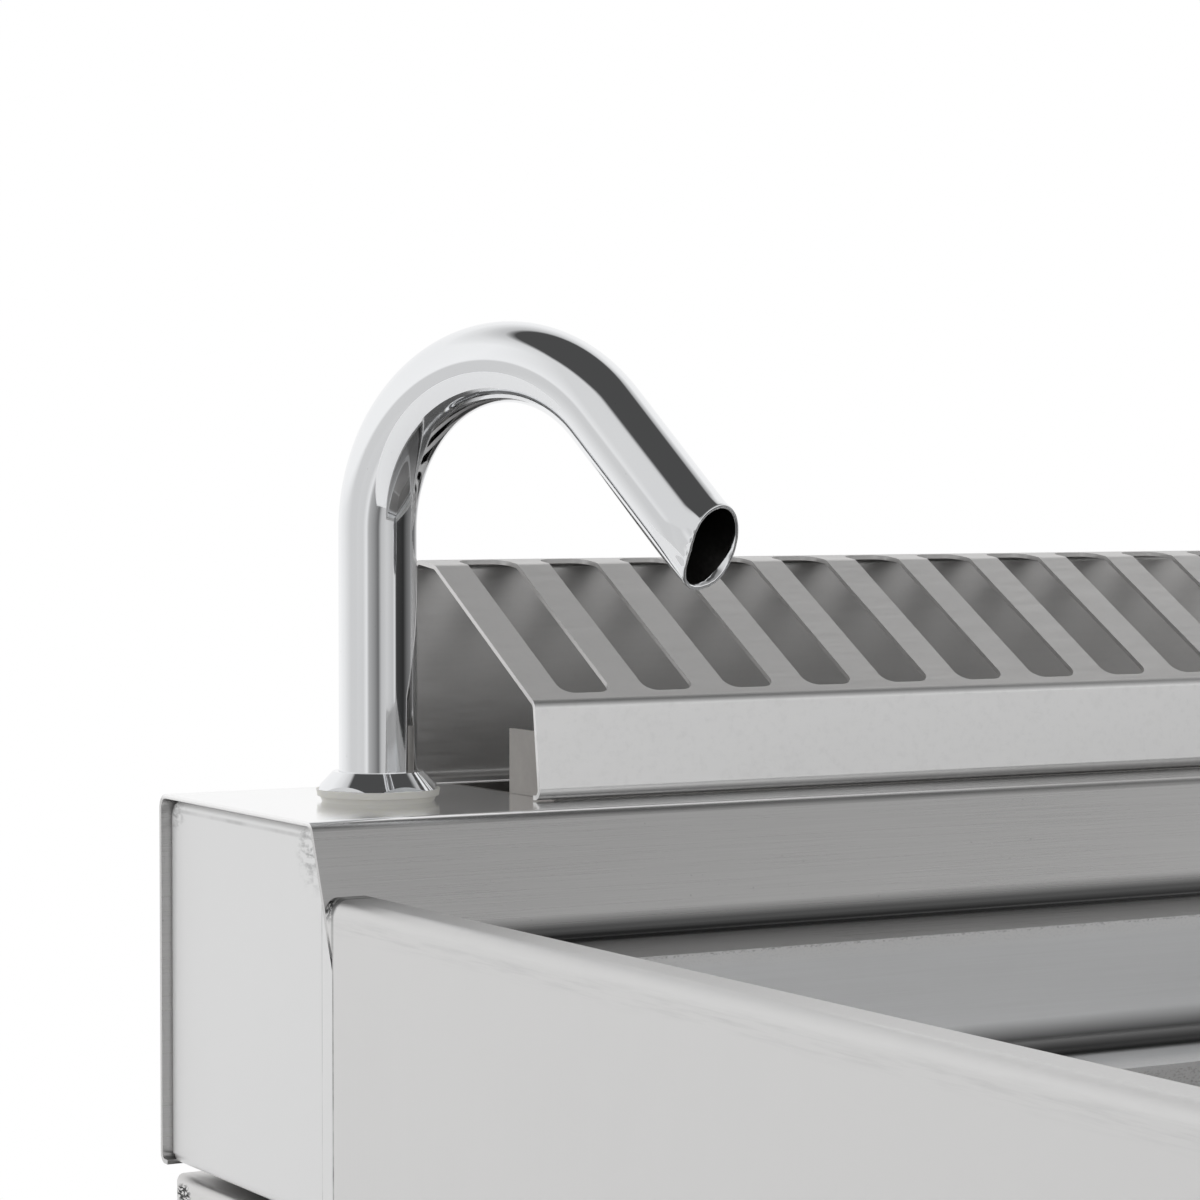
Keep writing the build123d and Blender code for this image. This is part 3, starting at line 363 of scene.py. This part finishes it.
# ---- Well tank and basket plate ----
# The deep-drawn tank hangs under the lower ledge, and a perforated plate lies on its floor.

tank_steel = steel("stainless_tank", 0.70, 0.40, GRAIN_ALONG_Y, contrast=0.05, grain_bump=0.1,
                   marks=((ground_lower, 1.0, 0.40),))
dress(tank_steel, "well_tank", "basket_rest")

# ---- Flue grille ----
# A slotted cover folded from one sheet: front face, slotted slope, flat top and back wall, with
# a fine matt finish and bright laser-cut edges.


def grille_dust(tree):
    """A little soot and dust in the grain."""
    flecks = spread(tree, noise(tree, (500.0, 500.0, 500.0), detail=4.0), 0.0, 1.0, 0.5, 0.75)
    return combined(tree, "MULTIPLY", flecks, 0.15)


grille_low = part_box("flue_grille")[0]


def grille_front_painted_light(tree):
    """The front face, lightened with a painted highlight and made a little smoother."""
    face = near(tree, distance_to(tree, (0.0, grille_low.y, 0.0), (0.0, 1.0, 0.0)), 0.0032, 0.0008)
    return combined(tree, "MULTIPLY", face, 0.8)


grille_grain = (60.0, 900.0, 900.0)
# The front face mark is a painted highlight, lighter than the rest of the grille.
grille_steel = steel("stainless_grille", 0.70, 0.40, grille_grain, warmth=0.012, contrast=0.05,
                     grain_bump=0.12,
                     marks=((grille_front_painted_light, 0.86, 0.30), (grille_dust, 0.58, 0.5)))
dress(grille_steel, "flue_grille")

# ---- Flue duct and burner space ----
# Plain sheet gone straw and blue-brown with heat.

heat_steel = steel("heat_tinted_steel", 0.34, 0.42, (60.0, 60.0, 60.0), warmth=0.05, contrast=0.35)
dress(heat_steel, "flue_duct", "combustion_chamber", "burner_tube_left", "burner_tube_right")

# ---- Fill spout ----
# A chrome-plated 20 mm tube, bent over in one sweep and cut off at a slant. Its mouth is a
# little crushed on one side and was only roughly deburred; inside it is dull, in a near-black colour
# that is painted shade down the bore.


def chrome(name, level=0.90):
    """Bright plating over polished brass, with the faintest unevenness and a few pits."""
    material, tree, shader = new_material(name, 1.0, 0.03)
    cloud = noise(tree, (60.0, 60.0, 60.0), detail=2.0)
    pits = spread(tree, noise(tree, (600.0, 600.0, 600.0), detail=2.0), 0.0, 0.5, 0.74, 0.78)
    tone = mixed(tree, cloud, (level * 0.95, level * 0.96, level * 0.98, 1.0),
                 (level * 0.98, level * 0.99, level, 1.0))
    link(tree, mixed(tree, pits, tone, grey(0.35)), shader.inputs["Base Color"])
    link(tree, spread(tree, cloud, 0.02, 0.07), shader.inputs["Roughness"])
    raised(tree, shader, noise(tree, (26.0, 26.0, 26.0), detail=1.0), 0.15, 0.0002)
    return material


def matt(name, colour, roughness, metallic=0.0, scale=300.0, fleck=0.85, bump=0.1):
    """A plain finish with a fine fleck in its colour, polish and surface."""
    material, tree, shader = new_material(name, metallic, roughness)
    cloud = noise(tree, (scale, scale, scale), detail=3.0)
    darker = (colour[0] * fleck, colour[1] * fleck, colour[2] * fleck, 1.0)
    link(tree, mixed(tree, cloud, darker, (*colour, 1.0)), shader.inputs["Base Color"])
    link(tree, spread(tree, cloud, roughness * 0.85, roughness * 1.15), shader.inputs["Roughness"])
    raised(tree, shader, cloud, bump, 0.0001)
    return material


def mesh_piece(name, points, faces, materials, smooth=True):
    """A mesh object from points and faces; a face is (corner numbers, material number)."""
    data = bpy.data.meshes.new(name)
    data.from_pydata(points, [], [corners for corners, _ in faces])
    for material in materials:
        data.materials.append(material)
    for polygon, (_, number) in zip(data.polygons, faces):
        polygon.material_index = number
        polygon.use_smooth = smooth
    data.validate()
    data.update()
    piece = bpy.data.objects.new(name, data)
    bpy.context.scene.collection.objects.link(piece)
    return piece


washer_low, washer_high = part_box("spout_washer")
tube_radius = 0.010
tube_wall = 0.0010
riser_height = 0.0689
bend_radius = 0.042
bend_angle = math.radians(136.6)
nozzle_length = 0.045
mouth_tilt = math.radians(27.0)
spout_heading = math.radians(66.9)
crushed_length = 0.009
tube_sides = 96
spout_foot = Vector(((washer_low.x + washer_high.x) / 2, (washer_low.y + washer_high.y) / 2, deck_top))
spout_out = Vector((math.cos(spout_heading), -math.sin(spout_heading), 0.0))
spout_side = Vector((math.sin(spout_heading), math.cos(spout_heading), 0.0))
# The crushed mouth's radius in tenths of a millimetre, every 15 degrees from the bend's outer side.
mouth_radii = (104, 103, 103, 101, 95, 87, 83, 86, 93, 97, 95, 92,
               90, 90, 94, 100, 104, 106, 107, 107, 106, 105, 104, 104)


def mouth_radius(angle):
    """The crushed mouth's radius at an angle, in metres."""
    station = (angle / (2 * math.pi) % 1.0) * len(mouth_radii)
    first = int(station) % len(mouth_radii)
    share = station - int(station)
    share = share * share * (3 - 2 * share)
    second = (first + 1) % len(mouth_radii)
    return (mouth_radii[first] * (1 - share) + mouth_radii[second] * share) * 0.0001


def spout_station(length):
    """The centre line's place, aim and outer side at a length from the deck."""
    arc = bend_radius * bend_angle
    turn = min(max(length - riser_height, 0.0) / bend_radius, bend_angle)
    aim = spout_out * math.sin(turn) + Vector((0, 0, math.cos(turn)))
    outer = Vector((0, 0, math.sin(turn))) - spout_out * math.cos(turn)
    centre = spout_foot + spout_out * bend_radius * (1 - math.cos(turn))
    centre = centre + Vector((0, 0, min(length, riser_height) + bend_radius * math.sin(turn)))
    return centre + aim * max(length - riser_height - arc, 0.0), aim, outer


def spout_ring(length, inset, share):
    """One ring of the tube; a share of 1 is the slanting crushed mouth itself."""
    centre, aim, outer = spout_station(length)
    across = aim.cross(outer)
    ring = []
    for number in range(tube_sides):
        angle = 2 * math.pi * number / tube_sides
        radius = tube_radius * (1 - share ** 2) + mouth_radius(angle) * share ** 2 - inset
        slant = -math.cos(angle) * radius * math.tan(mouth_tilt) * share
        ring.append(centre + (outer * math.cos(angle) + across * math.sin(angle)) * radius + aim * slant)
    return ring


def spout_mesh():
    """The tube's outside, its rounded lip and its inside."""
    end = riser_height + bend_radius * bend_angle + nozzle_length
    steps = [(-0.008 + (end - crushed_length + 0.008) * n / 120, 0.0) for n in range(121)]
    steps += [(end - crushed_length * (1 - n / 12), n / 12) for n in range(1, 13)]
    rings = [spout_ring(length, 0.0, share) for length, share in steps]
    lip = [(0.00015, 0.00022), (0.0005, 0.0003), (0.00085, 0.00022), (tube_wall, 0.0)]
    aim = spout_station(end)[1]
    rings[-1] = spout_ring(end, 0.0, 1.0)
    for inset, proud in lip:
        rings.append([point + aim * proud for point in spout_ring(end, inset, 1.0)])
    inside = [(end - crushed_length * n / 8, 1 - n / 8) for n in range(1, 9)]
    inside += [(end - crushed_length - 0.01 * n, 0.0) for n in range(1, 9)]
    rings += [spout_ring(length, tube_wall, share) for length, share in inside]
    first_inside = len(steps) + len(lip)
    points = [point for ring in rings for point in ring]
    faces = []
    for ring in range(len(rings) - 1):
        for side in range(tube_sides):
            beside = (side + 1) % tube_sides
            corners = (ring * tube_sides + side, ring * tube_sides + beside,
                       (ring + 1) * tube_sides + beside, (ring + 1) * tube_sides + side)
            faces.append((corners, 1 if ring >= first_inside else 0))
    return points, faces


plating = chrome("chrome_plate")
# The inside's near-black colour is painted shade down the bore over a dull finish.
tube_inside_painted_shade = matt("spout_inside_painted_shade", (0.030, 0.028, 0.026), 0.35, 0.6, 900.0, 0.2, 0.5)
spout = mesh_piece("spout_tube", *spout_mesh(), (plating, tube_inside_painted_shade))
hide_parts("fill_spout")
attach(spout, "spout")

# ---- Collar nut and washer ----
# A low conical chromed nut with six flats, screwed down on a translucent nylon washer.

bevel_width = 0.00025


def soften(name, width=bevel_width):
    """Breaks a CAD piece's sharp edges."""
    modifier = nodes[name].modifiers.new("edges", "BEVEL")
    modifier.width = width
    modifier.segments = 3
    modifier.limit_method = "ANGLE"
    modifier.angle_limit = math.radians(35)
    modifier.harden_normals = True


dress(plating, "spout_collar_nut", "drain_valve_body", "drain_ball")
nylon = matt("nylon", (0.90, 0.89, 0.84), 0.32, 0.0, 120.0, 0.94)
nylon_shader = nylon.node_tree.nodes["Principled BSDF"]
nylon_shader.inputs["Subsurface Weight"].default_value = 0.35
nylon_shader.inputs["Subsurface Radius"].default_value = (0.004, 0.004, 0.003)
dress(nylon, "spout_washer")

# ---- Water and gas fittings under the deck ----
# Turned brass, soldered copper pipe, and black rubber seals.

brass = matt("brass", (0.70, 0.52, 0.26), 0.28, 1.0)
dress(brass, "spout_shank", "riser_union_nut", "water_inlet_fitting", "gas_inlet_fitting", "water_valve_body",
      "gas_valve_body", "water_spindle", "gas_spindle", "gas_push_rod", "gas_injectors", "pilot_burner")
copper = matt("copper", (0.72, 0.40, 0.27), 0.30, 1.0, 90.0, 0.7)
dress(copper, "water_riser_pipe", "water_supply_pipe", "gas_supply_pipe", "pilot_pipe", "thermocouple")
dress(matt("rubber", (0.02, 0.02, 0.02), 0.7), "deck_seal", "spout_o_ring")
dress(matt("ceramic", (0.85, 0.84, 0.80), 0.2), "spark_electrode")

# ---- Lower housing ----
# Satin stainless panels round the burner space: two sides, the back with its vents, the front
# control panel and a flat tray, held with cross-head screws.


def tray_stain(tree):
    """The dark scratch at the side panel's upper rear corner."""
    middle = (left_end, rear_wall - 0.009, panel_high.z - 0.004)
    spot = near(tree, distance_to(tree, middle, (1.0, 1.0, 2.0)), 0.004, 0.002)
    return broken(tree, spot, (700.0, 700.0, 1400.0), 0.47, 0.52)


panel_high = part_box("side_panel_left")[1]
panel_steel = steel("stainless_panel", 0.72, 0.38, GRAIN_ALONG_Y, contrast=0.05, grain_bump=0.1,
                    marks=((tray_stain, 0.03, 0.5),))
dress(panel_steel, "side_panel_left", "side_panel_right", "rear_panel", "base_tray")
front_steel = steel("stainless_front", 0.70, 0.34, GRAIN_ALONG_X, contrast=0.07, grain_bump=0.15)
dress(front_steel, "control_panel")
zinc = matt("zinc_plate", (0.62, 0.62, 0.60), 0.34, 1.0, 200.0, 0.8)
dress(zinc, "panel_screws", "foot_bushes", "worktop_spacers", "burner_brackets", "gas_manifold", "drain_stem",
      "drain_lever_nut", "drain_pipe")

# ---- Knobs, igniter and their markings ----
# Moulded black knobs with a painted pointer, a push button, and generic printed tick marks.

black = matt("knob_black", (0.018, 0.018, 0.019), 0.33, 0.0, 500.0, 0.7, 0.15)
white_paint = matt("white_paint", (0.85, 0.85, 0.83), 0.5)
dress(black, "gas_knob", "water_knob", "igniter_body")
for knob in ("gas_knob", "water_knob"):
    soften(knob)
dress(matt("red_plastic", (0.42, 0.02, 0.02), 0.35), "igniter_button")
front_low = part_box("control_panel")[0]


def slab(low, high, turn=0.0, centre=(0.0, 0.0)):
    """A box's corners and faces, turned about an axis along +Y through a centre."""
    points = []
    for x in (low[0], high[0]):
        for y in (low[1], high[1]):
            for z in (low[2], high[2]):
                right, up = x - centre[0], z - centre[1]
                points.append((centre[0] + right * math.cos(turn) - up * math.sin(turn), y,
                               centre[1] + right * math.sin(turn) + up * math.cos(turn)))
    faces = [(0, 1, 3, 2), (4, 6, 7, 5), (0, 4, 5, 1), (2, 3, 7, 6), (0, 2, 6, 4), (1, 5, 7, 3)]
    return points, faces


def joined(name, slabs, material):
    """Several boxes as one flat-shaded piece."""
    points, faces = [], []
    for corners, sides in slabs:
        faces += [(tuple(number + len(points) for number in side), 0) for side in sides]
        points += corners
    return mesh_piece(name, points, faces, (material,), smooth=False)


tick_radius = 0.0275
tick_length = 0.0045
tick_width = 0.0011
print_height = 0.00012
water_marks = (0, 45, 90)
gas_marks = (0, 60, 120, 180, 240)
for knob, label, angles in (("water_knob", "water", water_marks), ("gas_knob", "gas", gas_marks)):
    knob_low, knob_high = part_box(knob)
    axis = ((knob_low.x + knob_high.x) / 2, (knob_low.z + knob_high.z) / 2)
    ticks = []
    for angle in angles:
        low = (axis[0] - tick_width / 2, front_low.y - print_height, axis[1] + tick_radius)
        high = (axis[0] + tick_width / 2, front_low.y + print_height, axis[1] + tick_radius + tick_length)
        ticks.append(slab(low, high, math.radians(angle if label == "gas" else -angle), axis))
    marks = joined(f"{label}_dial_print", ticks, black)
    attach(marks, "housing")
    pointer_low = (axis[0] - 0.0005, knob_low.y + 0.0006, axis[1] + 0.0085)
    pointer_high = (axis[0] + 0.0005, knob_low.y + 0.0011, axis[1] + 0.0172)
    pointer = joined(f"{label}_knob_pointer", [slab(pointer_low, pointer_high)], white_paint)
    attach(pointer, "water_control" if label == "water" else "gas_control")

# ---- Drain valve and lever ----
# A chromed ball valve with a pressed lever dipped in red plastic.

dress(matt("red_sleeve", (0.45, 0.02, 0.02), 0.38, 0.0, 200.0, 0.9, 0.2), "drain_lever")
soften("drain_lever", 0.0008)
soften("drain_valve_body", 0.0004)

# ---- Feet ----
# Moulded screw-in feet with a rounded pad.

dress(matt("foot_plastic", (0.03, 0.03, 0.03), 0.5, 0.0, 400.0), "foot_front_left", "foot_front_right",
      "foot_rear_left", "foot_rear_right")

# ---- Studio ----
# A pale floor and a plain soft surround: white behind and to the left, a bright band low in
# front, a darker room at eye level to the right and a dark ceiling, as in a small studio.

floor_material, floor_tree, floor_shader = new_material("pale_floor", 0.0, 0.7)
link(floor_tree, mixed(floor_tree, noise(floor_tree, (3.0, 3.0, 3.0)), grey(0.84), grey(0.86)),
     floor_shader.inputs["Base Color"])
floor_shader.inputs["Emission Color"].default_value = grey(1.0)
floor_shader.inputs["Emission Strength"].default_value = 0.42
bpy.ops.mesh.primitive_plane_add(size=2.4, location=(0, 0, 0))
floor = bpy.context.object
floor.name = "floor"
floor.data.materials.append(floor_material)

world = bpy.data.worlds.new("studio")
bpy.context.scene.world = world
world.use_nodes = True
sky = world.node_tree
sky.nodes.clear()
direction = sky.nodes.new("ShaderNodeTexCoord").outputs["Generated"]
parts = sky.nodes.new("ShaderNodeSeparateXYZ")
link(sky, direction, parts.inputs["Vector"])


def ramp(source, stops):
    """A grey that follows (place, level) stops."""
    shade = sky.nodes.new("ShaderNodeValToRGB")
    for place, level in stops:
        stop = shade.color_ramp.elements.new(place)
        stop.color = grey(level)
    shade.color_ramp.elements.remove(shade.color_ramp.elements[0])
    shade.color_ramp.elements.remove(shade.color_ramp.elements[-1])
    link(sky, source, shade.inputs["Fac"])
    return shade.outputs["Color"]


front_levels = [(0.0, 0.85), (0.12, 0.98), (0.22, 0.98), (0.42, 0.57), (0.60, 0.36), (0.74, 0.28)]
front = ramp(parts.outputs["Z"], front_levels)
back = ramp(parts.outputs["Z"], [(0.0, 0.98), (0.60, 0.95), (0.74, 0.80), (0.88, 0.5)])
body = mixed(sky, spread(sky, parts.outputs["X"], 0.0, 1.0, -0.15, -0.6), front, grey(0.74))
body = mixed(sky, spread(sky, parts.outputs["Y"], 0.0, 1.0, -0.05, 0.30), body, back)
lean = combined(sky, "MULTIPLY", combined(sky, "MAXIMUM", parts.outputs["Y"], 0.0), 0.22)
ceiling = spread(sky, combined(sky, "SUBTRACT", parts.outputs["Z"], lean), 0.0, 1.0, 0.74, 0.79)
body = mixed(sky, ceiling, body, grey(0.075))
round_about = sky.nodes.new("ShaderNodeTexGradient")
round_about.gradient_type = "RADIAL"
link(sky, direction, round_about.inputs["Vector"])
eye_level = [(0.0, 0.70), (0.055, 0.68), (0.085, 0.86), (0.105, 0.45), (0.15, 0.30), (0.18, 0.16),
             (0.205, 0.55), (0.25, 0.66), (0.30, 0.55), (0.318, 0.80), (0.330, 0.05), (0.40, 0.03),
             (0.44, 0.14), (0.48, 0.22), (0.50, 0.36), (0.53, 0.10), (0.58, 0.40), (0.63, 0.92),
             (0.78, 0.98), (0.86, 0.88), (0.94, 0.68)]
ring = ramp(round_about.outputs["Fac"], eye_level)
body = mixed(sky, spread(sky, parts.outputs["Z"], 0.0, 1.0, 0.03, 0.10), ring, body)
path = sky.nodes.new("ShaderNodeLightPath")
glow = mixed(sky, path.outputs["Is Camera Ray"], body, grey(1.0))
background = sky.nodes.new("ShaderNodeBackground")
link(sky, glow, background.inputs["Color"])
output = sky.nodes.new("ShaderNodeOutputWorld")
link(sky, background.outputs["Background"], output.inputs["Surface"])

camera_from_corner = Vector((-0.3618, -0.7735, 0.0814))
box_front = 0.090
corner = Vector((shell_low.x, shell_high.y - box_front, deck_top))
heading = math.radians(29.8)
dip = math.radians(1.91)
lens = bpy.data.cameras.new("camera")
lens.lens = 106.9
lens.sensor_width = 36.0
lens.clip_start = 0.05
camera = bpy.data.objects.new("camera", lens)
bpy.context.scene.collection.objects.link(camera)
camera.location = corner + camera_from_corner
camera.rotation_euler = (math.pi / 2 - dip, 0.0, -heading)
bpy.context.scene.camera = camera
bpy.context.scene.view_settings.view_transform = "Standard"
